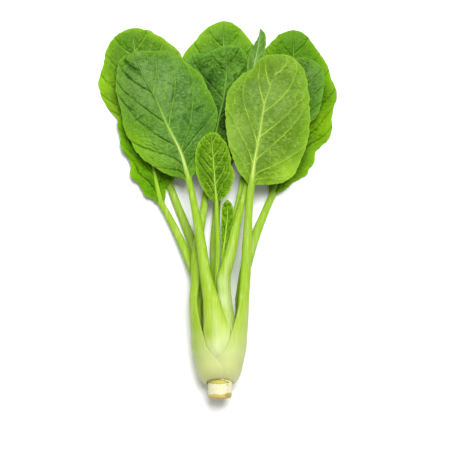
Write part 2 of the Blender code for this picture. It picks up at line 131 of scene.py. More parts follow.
# Colour of the flesh along y, as shares of a length
STALK_LENGTH = 200.0
STALK_STOPS = (
    (0.07, "#d8da92"), (0.12, "#dce498"), (0.19, "#dbe99c"), (0.27, "#c9df6a"), (0.39, "#b1d142"),
    (0.59, "#a2c837"), (0.85, "#9ac233"),
)

# The cut stub and the crown, as radius and y, from the crown's top down to the cut face
STUB_PROFILE = (
    (0.0, 30.0), (1.6, 28.6), (3.2, 24.0), (5.6, 20.0), (8.6, 17.6), (9.9, 16.2), (10.1, 14.6),
    (10.0, 12.8), (9.9, 11.0), (9.8, 8.0), (9.7, 4.0), (9.5, 1.4), (9.1, 0.3), (8.5, 0.0), (0.0, 0.0),
)
STUB_SHIFT = 0.9  # the stub stands a little to the right of the bulb's axis
STUB_RINGS = 150
STUB_SIDES = 200
SCAR_MIDDLE = -1.3  # the scar of a lost leaf on top of the stub: x of its middle, half width and depth
SCAR_HALF = 8.3
SCAR_DEPTH = 0.35
SCAR_Y = (12.4, 15.2)  # the y of its two borders in the middle, and how far they bend towards its sides
SCAR_BEND = (0.6, -2.2)
PATCH_PLACE = (6.2, 3.4)  # a brownish patch on top of the stub: x and y of its middle, and half sizes
PATCH_HALF = (3.2, 2.6)

WORLD_LIGHT = 0.4
LAMP_SIZE = 0.8
LAMP_POWER = 46.5
LAMP_PLACE = (0.2, 0.5, 1.8)
CAMERA_LENS = 120
CAMERA_ELEVATION = 84.0
CAMERA_TARGET = (0.0062, -0.0166, 0.024)
CAMERA_DISTANCE = 1.2
FLOOR_REACH = 3.0

# Each leaf: turn is its angle round the bulb, rank its ring from 0 outside, start the y where it leaves the
# crown and face the angle that the outer side of its blade turns to. A stalk's rows are y, x, z of its
# middle, half width and thickness. The midrib's rows are x, y, z. The two margins, as seen from above, run
# from the stalk to the tip. Droop lowers the left and the right margin. Wave is the height of the margin's
# waves, waves their number on a side and scallop how far they swing out.
LEAVES = (
    Row(
        name="leaf_01", turn=-75, rank=0, start=14.2, face=0,
        stalk=((80, -20.4, 26.4, 5.6, 6.4), (94, -19.2, 26, 5, 6), (118, -18.6, 24.5, 4, 5),
               (138, -15.4, 21.5, 3.4, 4.4), (158, -12.2, 18.2, 2.9, 3.6), (171, -10.6, 16.5, 2.6, 3)),
        rib=((-10.6, 171, 16.5), (-7.2, 198, 13.8), (-1.6, 224, 12.2), (4, 250, 11.6), (5.4, 274, 11.6),
             (5.4, 288, 12)),
        left=((-17, 184), (-23, 206), (-28, 230), (-31.5, 254), (-30, 273), (-22, 280.5), (-11, 281),
              (-2, 286)),
        right=((-2, 181), (10, 198), (19, 222), (24, 248), (25, 270), (21, 282), (14, 287)),
        droop=(1.5, 1.5), wave=0.9, waves=3, scallop=0.8,
    ),
    Row(
        name="leaf_02", turn=65, rank=0, start=14.2, face=0,
        stalk=((80, 18.6, 31, 6.4, 6.6), (94, 19.8, 32.5, 5.2, 6.2), (126, 21.6, 34, 3.7, 5.2),
               (158, 23.6, 34, 3, 4.4), (170, 25, 33.4, 2.8, 4)),
        rib=((25, 170, 33.4), (27.7, 190, 32.4), (32, 213, 30.4), (35.6, 235, 28.4), (41, 252, 26.8),
             (45.5, 265, 25.2), (46.5, 277.5, 23)),
        left=((19.5, 174), (11.5, 185), (8, 196), (5, 212), (4, 232), (6, 247), (14, 257), (26, 267),
              (36, 276.5)),
        right=((38, 169.5), (50, 171.5), (60, 179), (67, 194), (72, 212), (73, 233), (71.5, 251), (68, 265),
               (61, 274.5), (54, 277.5)),
        droop=(1.2, 4.5), wave=0.9, waves=5, scallop=0.6,
    ),
    Row(
        name="leaf_03", turn=-155, rank=0, start=14.2, face=-180,
        stalk=((80, -9.5, 5, 5.4, 5.6), (100, -14, 4.8, 5, 5.4), (130, -24, 4.4, 4, 4.6),
               (160, -36, 4.2, 3.2, 4), (181, -44, 4.4, 2.8, 3.4)),
        rib=((-44, 181, 4.4), (-50, 208, 5), (-60, 242, 5.4), (-69, 277, 4.8), (-73, 304, 2.6)),
        left=((-56, 195), (-70, 212), (-84, 228), (-95, 239), (-99.8, 257), (-97.5, 273), (-93, 289),
              (-84, 300)),
        right=((-42, 206), (-38.5, 230), (-34, 252), (-31, 270), (-31.5, 282), (-38, 289), (-46, 295.5),
               (-60, 303)),
        droop=(4, 3.4), wave=0.9, waves=4, scallop=0.9,
    ),
    Row(
        name="leaf_04", turn=-5, rank=1, start=18.5, face=0,
        stalk=((78, -6.8, 40.6, 6.6, 6.8), (94, -10.5, 39.8, 4.9, 6.4), (126, -15.5, 36.5, 3.9, 5.6),
               (158, -21.4, 32, 2.9, 4.6), (175, -25.2, 29.4, 2.7, 4.2)),
        rib=((-25.2, 175, 29.4), (-32.6, 199, 26.4), (-41.8, 217, 24.4), (-52.6, 242, 21.4),
             (-64, 264, 18.4), (-71, 281, 15.6)),
        left=((-40, 178), (-52, 184), (-64, 194), (-74, 208), (-79.5, 225), (-83.5, 244), (-85.5, 257),
              (-82, 273), (-77, 279)),
        right=((-19, 181), (-12, 199), (-4, 216), (-1.5, 227), (-4, 238), (-9, 251), (-17, 264), (-28, 274),
               (-42, 282.5), (-57, 283)),
        droop=(4, 6), wave=0.9, waves=5, scallop=0.7,
    ),
    Row(
        name="leaf_05", turn=120, rank=1, start=18.5, face=180,
        stalk=((80, 16, 9.6, 6, 6), (100, 19.5, 8, 5, 5.4), (130, 28, 6, 4, 4.4), (150, 36, 5.2, 3.3, 3.8),
               (166, 43, 5.2, 2.9, 3.4)),
        rib=((43, 166, 5.2), (50, 193, 6), (57, 227, 6.4), (60, 260, 6), (60.4, 286, 4.4),
             (60.6, 302.5, 2.4)),
        left=((37, 184), (33, 209), (31, 238), (32, 263), (35.4, 284), (43, 293.5), (51, 300)),
        right=((59, 173), (68, 180), (76, 191), (83, 203), (90, 217), (94.4, 232), (94.8, 248), (92.6, 265),
               (85.4, 278.6), (78.6, 289.6), (69.6, 299.8)),
        droop=(0.5, 4.4), wave=1.2, waves=5, scallop=1.5,
    ),
    Row(
        name="leaf_06", turn=-103, rank=1, start=18.5, face=-180,
        stalk=((80, -16, 15.8, 4.2, 5), (100, -21, 13, 4, 4.8), (130, -33, 9, 3.5, 4),
               (146, -41, 7.6, 3.1, 3.6), (158.5, -48, 7.4, 2.8, 3.2)),
        rib=((-48, 158.5, 7.4), (-52, 176, 9.2), (-56, 198, 11), (-58, 222, 11.6), (-60, 245, 11.2)),
        left=((-62, 166), (-70.5, 176), (-75.5, 191), (-81, 205), (-84.5, 218), (-82, 230), (-73, 241)),
        right=((-43, 168), (-36, 182), (-31, 202), (-34, 222), (-43, 238), (-51, 244)),
        droop=(2.4, 2), wave=1.1, waves=5, scallop=1.1,
    ),
    Row(
        name="leaf_07", turn=35, rank=2, start=24, face=0,
        stalk=((80, 3.8, 31.6, 6, 6), (94, 3, 33, 5.8, 5.8), (114, 8.2, 33.5, 4.7, 5.4),
               (138, 13.2, 31, 3.4, 4.6), (158, 18.2, 27, 2.6, 4), (171, 21.6, 24.2, 2.4, 3.6)),
        rib=((21.6, 171, 24.2), (33.6, 198, 22), (45.6, 226, 20), (56, 256, 17.6), (61.5, 276, 16)),
        left=((19, 186), (17, 206), (19, 226), (27, 241), (38, 254), (50, 269)),
        right=((36, 180), (52, 192), (64, 206), (73, 221.5), (80.5, 231), (84, 246), (85, 260), (81.6, 271),
               (72, 276.5)),
        droop=(1.2, 2.6), wave=0.7, waves=4, scallop=0.7,
    ),
    Row(
        name="leaf_08", turn=175, rank=2, start=26.5, face=180,
        stalk=((80, -1, 12, 4.8, 5), (100, -3.4, 9.4, 4.2, 4.6), (126, -4.4, 7.4, 3.6, 4),
               (150, -3, 6.4, 3, 3.5), (176, -1, 6, 2.6, 3.2)),
        rib=((-1, 176, 6), (0, 208, 6.2), (2.6, 250, 6), (3, 284, 5), (2.8, 310, 3)),
        left=((-15, 195), (-28, 219), (-35, 243), (-35, 265), (-30, 282), (-21.7, 292.5), (-14.6, 301),
              (-6, 307.4)),
        right=((14, 197), (26, 220), (32.5, 247), (31.5, 274), (26.4, 293), (20, 301.4), (11.4, 308)),
        droop=(0.8, 4.4), wave=0.9, waves=4, scallop=0.7,
    ),
    Row(
        name="leaf_09", turn=-50, rank=3, start=34, face=0,
        stalk=((34, -2.6, 23.4, 1.9, 2.8), (60, -2.6, 25, 2, 3), (98, -2.4, 27.6, 2, 2.9),
               (118, -1.7, 29, 2, 2.8), (138, -2.3, 30.2, 1.7, 2.6), (156, -2.8, 30.6, 1.6, 2.4)),
        rib=((-2.8, 156, 30.6), (-3.8, 168, 30.1), (-5.2, 188, 29), (-6.3, 202, 28), (-7.4, 213, 27)),
        left=((-11.4, 161.5), (-15.5, 170), (-20, 181), (-20.6, 191), (-18.5, 202), (-13, 210)),
        right=((5, 160.5), (9.5, 168), (12, 177.5), (9.5, 187), (7.5, 199), (3.5, 207), (-2, 212)),
        droop=(-0.5, 1), wave=0.4, waves=2, scallop=0.3,
    ),
    Row(
        name="leaf_10", turn=80, rank=3, start=34, face=0,
        stalk=((34, 2.6, 21.2, 1.9, 2.8), (60, 3, 20.6, 1.9, 2.8), (80, 4, 20.4, 1.9, 2.8),
               (100, 5.5, 21.4, 1.9, 2.8), (124, 7, 22.8, 1.9, 2.8), (150, 12.2, 22.2, 1.8, 2.6),
               (171, 17.2, 19.2, 1.8, 2.6), (198, 20.6, 16.8, 1.7, 2.4), (226, 23, 15.4, 1.6, 2.2),
               (250, 25.2, 15, 1.4, 2.2)),
        rib=((25.2, 250, 15), (28, 271, 14.4), (31.6, 289, 13.8), (32.6, 301, 14.6)),
        left=((21.5, 264), (22.5, 276), (27.4, 287), (31.2, 294.5)),
        right=((32.5, 261), (35.7, 272), (37.4, 284), (36.8, 296.5)),
        droop=(-3.4, -4.2), wave=0.4, waves=2, scallop=0.3,
    ),
    Row(
        name="leaf_11", turn=-140, rank=3, start=34, face=-180,
        stalk=((34, -0.4, 17.6, 1.4, 2.2), (60, 0, 18, 1.4, 2.2), (90, 0.8, 22.2, 1.4, 2.2),
               (105, 1.7, 25.2, 1.4, 2.2), (118, 2.7, 27.2, 1.3, 2.2)),
        rib=((2.7, 118, 27.2), (4.8, 134, 28.4), (6, 146, 29.6), (5.4, 158, 30.8)),
        left=((0.7, 127), (0.7, 138), (1.1, 148), (2.4, 155)),
        right=((7, 128), (10, 138), (11.4, 147), (9.4, 155)),
        droop=(0.4, 0.8), wave=0.5, waves=2, scallop=0.4,
    ),
)


def veins(count, first, last, lift, bow=1.0):
    """Side veins at even steps along the midrib, as rows of start, end at the margin and bow."""
    starts = first + (last - first) * np.arange(count) / max(count - 1, 1)
    return tuple((a, a + lift * (1.02 - a), bow) for a in starts)


# What a blade looks like where its own row below says nothing else
USUAL_LOOK = dict(
    slot="bright_green_leaf",
    cells=(12, 10, 5),  # lanes of the midrib, lanes at either side, and parts of each of these in the blade
    rings=150,  # rows of points from the stalk to the tip
    rise=-0.6,  # of the side veins, as seen from above
    quilt=1.1,  # bulge between side veins
    puff=0.7,  # bulge between fine veins
    net=3.1,  # size of the cells between fine veins
    sway=0.7,  # height of large slow waves
    crumple=0.5,  # height and length of small waves
    crumple_length=8,
    vein_width=0.22,  # half width of a side vein in the middle of the blade
    rough=1.0,  # strength of the fine grain
    hollow=0.45,  # painted shade along the fine veins, in the hollows between the puffed cells
    gloss=0.12,
    shadow=(0.5, 0.5),  # darkness beside the side veins, left and right
    shine=(0.9, 0.9),  # brightness of the side veins, left and right
    rib_end=0.95,  # share of the blade where the midrib ends
    rib_thin=0.2,  # share of its width that the midrib loses soon after the stalk
    pale_end=80.0,  # y where the pale middle of the stalk ends
    nick=0.3,  # small unevenness of the margin
    frill=(0.5, 0.5, 1),  # strength of the scallops left and right, and the share where they end
    notches=(),  # side, share along the margin, depth and width in shares
    folds=(),  # creases as x and y of both ends, half width and depth; the colour along them is darkened as painted shade
    tones=(),  # patches of another green as x, y, reach, colour and strength; some are the blade's own tone, some painted sheen and painted shadow
    # the same on the stalk; on the bulb some are painted shade and painted highlight
    stalk_tones=(),
)

# Every blade's own look. Left and right are the side veins, as rows of start on the midrib, end at the
# margin and bow, from base to tip. The greens are the deepest one, used for mottling and for the painted
# shade in hollows, in creases and beside veins, then those of the dark and the light parts, of the margin,
# of the veins and of the midrib. Glow is how far the brighter margin reaches in.
LOOKS = {
    "leaf_01": dict(
        left=veins(5, 0.05, 0.8, 0.42), right=veins(5, 0.12, 0.84, 0.42),
        greens=("#1e4206", "#48781a", "#74a43e", "#70a834", "#82b448", "#7cac48"),
        slot="deep_green_leaf", rise=-0.8, quilt=1.5, puff=0.85, sway=0.8, crumple=0.7, crumple_length=9,
        glow=4, rough=1.7, rib_thin=0.45,
        folds=((12, 262, 20, 236, 2.2, 1.6), (-6, 268, -14, 240, 2.4, 1.4), (-20, 262, -24, 244, 2, 1.2)),
        # the two dark patches are painted shadow in the gap between the leaves above; the third is a
        # lighter patch
        tones=((-1, 222, 10, "#1a3a04", 0.75), (-8, 246, 9, "#244e08", 0.5), (16, 262, 9, "#7eae48", 0.4)),
        # painted shade: greener where the bulb's left side turns away from the light
        stalk_tones=((-24, 58, 10, "#a0c828", 0.7), (-23, 42, 9, "#a4c830", 0.7),
                     (-22, 28, 8, "#b0c854", 0.55)),
    ),
    "leaf_02": dict(
        left=((0.02, 0.28, 1.0), (0.155, 0.52, 1.1), (0.305, 0.84, 1.1), (0.597, 0.9, 0.85),
              (0.743, 0.95, 1.0)),
        right=((0.0, 0.18, 1.0), (0.05, 0.4, 1.1), (0.175, 0.66, 0.97), (0.35, 0.72, 0.92),
               (0.54, 0.93, 1.15), (0.838, 0.97, 1.4)),
        greens=("#527622", "#628628", "#769a3e", "#80b018", "#acd054", "#cbe673"),
        slot="olive_green_leaf", cells=(12, 10, 6), rings=240, rise=0.4, quilt=-0.6, puff=-0.45, sway=0.6,
        crumple=0.3, vein_width=0.3, glow=7, rough=1.9, hollow=0.55, shine=(1.1, 1.2), rib_end=0.84,
        rib_thin=0.52, nick=0.38, frill=(0.3, 0.2, 0.8),
        notches=((1, 0.628, 1.1, 0.012), (1, 0.66, -0.6, 0.02), (-1, 0.16, 0.8, 0.02)),
        folds=((40, 268, 42.5, 256, 3, 0.4),),
        # the greyish patches at y 244 and 242 are painted sheen; the others make parts of the blade darker
        # and brighter
        tones=((38, 268, 14, "#688c28", 0.6), (30, 244, 14, "#70944a", 0.45), (48, 242, 14, "#84a850", 0.5),
               (54, 180, 12, "#a8d43c", 0.6), (10, 214, 12, "#98ba54", 0.4)),
        # painted shade: greener where the bulb's right side turns away from the light
        stalk_tones=((23, 58, 9, "#b0d048", 0.55), (22, 42, 8, "#b4cc54", 0.65),
                     (20, 26, 8, "#b4c064", 0.65)),
    ),
    "leaf_03": dict(
        left=veins(5, 0.08, 0.8, 0.4, 1.05), right=veins(5, 0.13, 0.84, 0.4, 1.05),
        greens=("#366212", "#4e761e", "#668e34", "#90c428", "#9cca44", "#a4d04c"),
        crumple=0.45, vein_width=0.32, glow=6, frill=(0.7, 0.1, 0.7),
        tones=((-78, 292, 10, "#548c22", 0.5), (-97, 256, 12, "#9cd014", 0.6),
               (-84, 237, 8, "#9cd018", 0.4)),
    ),
    "leaf_04": dict(
        left=((0.0, 0.18, 1.0), (0.09, 0.4, 1.0), (0.24, 0.7, 1.15), (0.42, 0.78, 0.9), (0.643, 0.88, 0.8),
              (0.843, 0.95, 1.6)),
        right=((0.07, 0.2, 1.0), (0.18, 0.4, 1.3), (0.213, 0.73, 1.35), (0.39, 0.83, 0.85),
               (0.647, 0.93, 0.8)),
        greens=("#325e1e", "#5a8834", "#769c56", "#72a42c", "#92c04c", "#c3e27a"),
        slot="deep_green_leaf", cells=(12, 10, 6), rings=240, rise=-0.8, quilt=0.9, puff=0.55, net=3.0,
        sway=0.6, crumple=0.35, vein_width=0.2, glow=5.5, rough=1.9, hollow=0.55, gloss=0.08,
        shadow=(0.75, 0.35), shine=(0.5, 1), rib_end=0.64, rib_thin=0.25,
        folds=((-79, 275, -64.5, 261, 2.4, 1.5), (-77, 236, -70, 232, 1.2, 0.8),
               (-68, 224, -62, 228, 1.2, 0.8), (-30, 226, -25, 221, 1.8, 0.8),
               (-20, 232, -12, 237, 1.2, 0.7), (-76, 262, -72, 258, 1.6, 0.8)),
        # the first two, greyish patches are painted sheen; the others darken the blade towards the lower
        # right and brighten its lower left
        tones=((-66, 252, 20, "#7c9e56", 0.4), (-52, 238, 18, "#749a4c", 0.4),
               (-12, 224, 16, "#3e7216", 0.5), (-30, 214, 14, "#447a20", 0.4),
               (-66, 204, 14, "#92c630", 0.6), (-50, 190, 12, "#8ec03c", 0.5)),
        # painted shade on the left of the base and a painted highlight on its right
        stalk_tones=((-9.6, 52, 6, "#a2c438", 0.6), (5, 52, 6, "#dcee98", 0.5), (6, 46, 5, "#e4f0b0", 0.5)),
    ),
    "leaf_05": dict(
        left=veins(5, 0.1, 0.82, 0.42), right=veins(6, 0.05, 0.84, 0.4),
        greens=("#2e5816", "#42701c", "#5c842c", "#8ac000", "#80b230", "#94c444"),
        rise=-1.0, quilt=1.4, puff=0.9, sway=0.8, vein_width=0.24, glow=8, rough=1.8, hollow=0.7,
        gloss=0.05, frill=(0.5, 1.1, 0.66),
        notches=((1, 0.55, 0.8, 0.015), (1, 0.3, 1.4, 0.02), (1, 0.205, 2.2, 0.018)),
        tones=((84, 222, 14, "#98c800", 0.45), (62, 296, 20, "#5e9038", 0.6)),
    ),
    "leaf_06": dict(
        left=veins(5, 0.06, 0.78, 0.38), right=veins(4, 0.12, 0.78, 0.38),
        greens=("#346600", "#4a8200", "#5e9800", "#7eb600", "#90c228", "#a8d040"),
        rings=110, rise=-0.7, quilt=1.2, puff=0.8, net=4, glow=6, rough=1.3, gloss=0.05, nick=0.6,
        frill=(1.1, 1, 1),
        tones=((-72, 186, 12, "#8cc400", 0.4),),
    ),
    "leaf_07": dict(
        left=veins(5, 0.08, 0.82, 0.4), right=veins(6, 0.05, 0.84, 0.4),
        greens=("#325c1e", "#4a7426", "#688a40", "#6ca424", "#78a84a", "#9cc464"),
        slot="olive_green_leaf", rings=140, rise=-0.9, quilt=1.3, puff=0.8, net=3.0, sway=0.6,
        vein_width=0.24, glow=4, rough=1.9, hollow=0.7, pale_end=125.0,
        stalk_tones=((1, 78, 8, "#dcecb4", 0.6), (0, 92, 6, "#d4e8a0", 0.4)),
    ),
    "leaf_08": dict(
        left=veins(5, 0.1, 0.82, 0.42), right=veins(5, 0.06, 0.8, 0.42),
        greens=("#386818", "#548424", "#749e3e", "#88bc18", "#90c23e", "#a4ce50"),
        crumple=0.45, vein_width=0.32, glow=8, frill=(0.1, 0.1, 1),
    ),
    "leaf_09": dict(
        left=veins(5, 0.03, 0.8, 0.5, 0.95), right=veins(5, 0.07, 0.84, 0.5, 0.95),
        greens=("#305a00", "#4a7a04", "#729e10", "#84b40a", "#a4cc48", "#b0d650"),
        cells=(8, 6, 8), rings=110, rise=-0.7, quilt=1.0, net=2.6, sway=0.4, crumple=0.45,
        crumple_length=4.5, vein_width=0.3, glow=2.5, rough=1.3, gloss=0.07, shadow=(0.3, 0.3),
        shine=(1.3, 1.3), nick=0.35, frill=(0.7, 0.5, 1),
    ),
    "leaf_10": dict(
        left=veins(3, 0.1, 0.8, 0.4), right=veins(3, 0.15, 0.84, 0.4),
        greens=("#40682a", "#5c8a3a", "#7aa352", "#7aac3c", "#9cc26c", "#aacb74"),
        slot="olive_green_leaf", cells=(8, 6, 4), rings=60, rise=0.2, quilt=0.25, puff=0.08, net=4,
        sway=0.15, crumple=0.3, vein_width=0.2, glow=2,
    ),
    "leaf_11": dict(
        left=veins(4, 0.05, 0.8, 0.4), right=veins(4, 0.1, 0.84, 0.4),
        greens=("#3c6a0a", "#5c9216", "#8cc226", "#90c63c", "#a4cc40", "#b0d848"),
        cells=(8, 6, 5), rings=60, quilt=1.0, net=2.2, sway=0.3, crumple_length=4.5, vein_width=0.2,
        glow=1.4, rough=1.4, gloss=0.04, shadow=(0.3, 0.3), nick=0.12, frill=(0.4, 0.4, 1),
    ),
}


def smoothstep(value, low=0, high=1):
    value = np.clip((value - low) / (high - low), 0, 1)
    return value * value * (3 - 2 * value)


def within(share, first, last):
    """0 at both ends and 1 in between, with a smooth start and end of the given lengths."""
    return smoothstep(share / first) * smoothstep((1 - share) / last)


def bell(ratio):
    return np.exp(-(ratio**2))


def dome(shares, shape):
    """Height of a rounded section: 1 in the middle and 0 at both edges."""
    return np.clip(1 - shares**2, 0, 1) ** shape


def curve(knots, values, at):
    """Reads a smooth curve that passes through the values at their knots."""
    knots = np.asarray(knots, float)
    values = np.asarray(values, float).reshape(len(knots), -1)
    slopes = np.gradient(values, knots, axis=0)
    at = np.clip(np.asarray(at, float), knots[0], knots[-1])
    i = np.clip(np.searchsorted(knots, at, side="right") - 1, 0, len(knots) - 2)
    run = (knots[i + 1] - knots[i])[..., None]
    u = (at - knots[i])[..., None] / run
    start = values[i] * (1 + 2 * u) * (1 - u) ** 2 + slopes[i] * run * u * (1 - u) ** 2
    return start + values[i + 1] * u * u * (3 - 2 * u) + slopes[i + 1] * run * u * u * (u - 1)


def length_to(points):
    """Length of the line through the points, up to each of them."""
    return np.concatenate([[0], np.cumsum(np.linalg.norm(np.diff(points, axis=0), axis=1))])


def trace(points, share):
    """The points at shares of the length of a smooth line through the points."""
    points = np.asarray(points, float)
    knots = length_to(points)
    return curve(knots / knots[-1], points, share)


def to_right(ahead):
    """Unit vectors in plan, square to each direction and to its right."""
    return np.stack([ahead[:, 1], -ahead[:, 0]], -1) / np.hypot(ahead[:, 0], ahead[:, 1])[:, None]


def slow_waves(xy, seed, length):
    """A smooth random surface between about -1 and 1, from sines of about the given wave length."""
    rng = np.random.default_rng(seed)
    total = np.zeros(xy.shape[:-1])
    for _ in range(6):
        turn = rng.uniform(0, 2 * math.pi)
        pitch = length * rng.uniform(0.7, 1.5)
        along = xy[..., 0] * math.cos(turn) + xy[..., 1] * math.sin(turn)
        total += np.sin(2 * math.pi * along / pitch + rng.uniform(0, 2 * math.pi))
    return total / 3


def clasp(leaf, y):
    return CLASP_OF_RANK[leaf.rank] * curve(CLASP_Y, CLASP_ANGLE, y)[..., 0]


def bulb_radius(y):
    return curve(BULB_Y, BULB_RADIUS, y)[..., 0]


def wall(leaf, y, share):
    """Thickness of a leaf base: fleshy in the middle, thin at its edges and where it leaves the crown."""
    full = WALL_OF_RADIUS[leaf.rank] * bulb_radius(y)
    middle = THIN_BASE + (full - THIN_BASE) * smoothstep((y - leaf.start + 1) / WALL_RUN)
    return EDGE + (middle - EDGE) * dome(share, WALL_SHAPE)


def depth(order, y, angle):
    """How far a base's outer face lies below the bulb's surface: it dips under every older base."""
    found = np.zeros(np.broadcast(y, angle).shape)
    for older in range(order):
        leaf = LEAVES[older]
        turned = (angle - leaf.turn + 180) % 360 - 180
        reach = clasp(leaf, y)
        cover = 1 - smoothstep((np.abs(turned) - reach - DIP_START) / DIP_RUN)
        under = depth(older, y, angle) + wall(leaf, y, turned / reach) + NEST_GAP
        found = np.maximum(found, cover * under)
    return found


def lane_shares(lanes, packed):
    """Each lane's place across the stalk: even round the bulb, and ready to fan out at the blade."""
    across = np.abs(lanes)
    in_rib = across / RIB_LANES * RIB_SHARE
    in_blade = RIB_SHARE + (1 - RIB_SHARE) * (across - RIB_LANES) / (1 - RIB_LANES)
    ready = np.sign(lanes) * np.where(across <= RIB_LANES, in_rib, in_blade)
    return lanes + (ready - lanes) * packed


def section(half_thick, shares):
    """Height of a stalk's face above its middle plane."""
    return EDGE / 2 + (half_thick - EDGE / 2) * dome(shares, STALK_SHAPE)


def base_grids(order, y, lanes):
    """Outer and inner face between the crown and the blade, as grids of points."""
    leaf = LEAVES[order]
    y = y[:, None]
    rows = np.asarray(leaf.stalk, float)
    end = rows[-1, 0]
    shares = lane_shares(lanes[None], smoothstep(y, FAN_START, end))
    spot = curve(rows[:, 0], rows[:, 1:], y)
    x, z, half_width, thick = (spot[..., k] for k in range(4))
    rolled = smoothstep(y, ROLL_START, ROLL_END * end)
    roll = np.radians(leaf.turn + (leaf.face - leaf.turn) * rolled)
    side = np.stack([np.cos(roll), 0 * roll, -np.sin(roll)], -1)
    out = np.stack([np.sin(roll), 0 * roll, np.cos(roll)], -1)
    middle = np.stack([x, y, z], -1) + side * (half_width * shares)[..., None]
    flute = FLUTE * np.cos(FLUTES * math.pi * shares) * (1 - shares**2)
    flute = flute * smoothstep((y - FLUTE_START) / FLUTE_RUN)
    free = [
        middle + out * (section(thick * OUTER_SHARE, shares) + flute)[..., None],
        middle - out * section(thick * (1 - OUTER_SHARE), shares)[..., None],
    ]
    if leaf.rank == HEART:
        return free
    angle = leaf.turn + clasp(leaf, y) * shares
    outer = bulb_radius(y) - depth(order, y, angle)
    inner = outer - wall(leaf, y, shares)
    turned = np.radians(angle)
    foot = 0
    if leaf.rank == 0:
        foot = FOOT_RISE * np.maximum(np.cos(turned), 0) - FOOT_DROP
        foot = foot * smoothstep(y, FOOT_END, leaf.start)
    nested = [
        np.stack([AXIS_X + r * np.sin(turned), y + foot + 0 * r, AXIS_Z + r * np.cos(turned)], -1)
        for r in (outer + flute, inner)
    ]
    loose = smoothstep(y, *LEAVE_BULB)[..., None]
    return [a + (b - a) * loose for a, b in zip(nested, free)]


def ripple(leaf, side, share):
    """The waves along a margin, which fade out at the stalk and at the tip."""
    return within(share, *WAVE_FADE) * np.sin(2 * math.pi * (leaf.waves * share + 0.25 * side))


def margin(leaf, look, side, share):
    """The blade's margin on one side, from the edge of the stalk to the tip."""
    rib = np.asarray(leaf.rib, float)[:, :2]
    start = rib[0] + side * leaf.stalk[-1][3] * to_right(rib[1:2] - rib[:1])[0]
    own, other = (leaf.right, leaf.left) if side > 0 else (leaf.left, leaf.right)
    points = np.array([start, *own, rib[-1], other[-1]], float)
    knots = length_to(points)
    knots /= knots[-2]
    share = share * OUTLINE_END
    outward = side * to_right(curve(knots, points, share + STEP) - curve(knots, points, share - STEP))
    spots = curve(knots, points, share)
    *frills, last = look.frill
    frill = frills[side > 0] * smoothstep((last - share) / 0.15 + 1)
    swing = frill * leaf.scallop * ripple(leaf, side, share)
    nicks = slow_waves(spots, look.seed + 50 + side, NICK_LENGTH) - 1
    nicks += 0.55 * (slow_waves(spots, look.seed + 60 + side, NICK_LENGTH / 2.2) - 0.6)
    swing += look.nick * nicks * within(share, 0.1, 0.08)
    for where, at, deep, wide in look.notches:
        if where == side:
            swing -= deep * bell((share - at) / wide)
    return spots + outward * swing[:, None]


def vein_lines(rows, share, in_blade, spot):
    """Phase and spacing of one half of a blade.

    The phase is whole on each side vein and runs evenly between them, and the spacing is the length in
    millimetres over which it grows by one, so their product is the distance from the nearest vein.
    """
    before, after = (-0.25, -0.2, 1.0), (1.06, 1.2, 1.0)
    rows = np.array([before, *rows, after])
    lines = rows[:, 0, None] + (rows[:, 1] - rows[:, 0])[:, None] * in_blade[None] ** rows[:, 2, None]
    lines = np.maximum.accumulate(lines + 1e-3 * np.arange(len(rows))[:, None], axis=0)
    at = share[:, None, None]
    band = np.clip((lines.T[None] <= at).sum(-1) - 1, 0, len(rows) - 2)
    lane = np.arange(len(in_blade))[None]
    low, high = lines[band, lane], lines[band + 1, lane]
    phase = band + np.clip((share[:, None] - low) / np.maximum(high - low, 1e-3), 0, 1)
    x_steps, y_steps = np.gradient(spot[..., 0]), np.gradient(spot[..., 1])
    area = x_steps[0] * y_steps[1] - x_steps[1] * y_steps[0]
    area = np.where(np.abs(area) < 1e-4, 1e-4, area)
    by_ring, by_lane = np.gradient(phase)
    slope_x = (by_ring * y_steps[1] - by_lane * y_steps[0]) / area
    slope_y = (by_lane * x_steps[0] - by_ring * x_steps[1]) / area
    return phase, 1 / np.clip(np.hypot(slope_x, slope_y), 0.02, 2.0)


def net_gap(spot, pitch, seed):
    """Distance from the nearest fine vein: the borders of cells round scattered points."""
    rng = np.random.default_rng(seed)
    bent = [NET_BEND * pitch * slow_waves(spot, seed + k, 1.6 * pitch) for k in (1, 2)]
    flat = ((spot + np.stack(bent, -1)) / (NET_STRETCH, 1)).reshape(-1, 2)
    low, high = flat.min(0) - pitch, flat.max(0) + pitch
    steps = [np.arange(a, b, pitch) for a, b in zip(low, high)]
    seeds = np.stack(np.meshgrid(*steps), -1).reshape(-1, 2)
    seeds = seeds + rng.uniform(-NET_JITTER, NET_JITTER, seeds.shape) * pitch
    gaps = []
    for chunk in np.array_split(flat, max(1, len(flat) // 4000)):
        away = np.hypot(*(chunk[:, None] - seeds[None]).transpose(2, 0, 1))
        away.partition(1, axis=1)
        gaps.append((away[:, 1] - away[:, 0]) / 2)
    return np.concatenate(gaps).reshape(spot.shape[:2])


def crease(spot, fold):
    """How near each point is to a crease: 1 on it, and 0 a little more than its half width away."""
    start, end = np.array(fold[:2], float), np.array(fold[2:4], float)
    run = end - start
    part = np.clip(((spot - start) @ run) / (run @ run), 0, 1)
    away = np.linalg.norm(spot - start - part[..., None] * run, axis=-1)
    half = fold[4] * (0.35 + 0.65 * np.sin(math.pi * np.clip(part, 0.08, 0.92)))
    return bell(away / half)


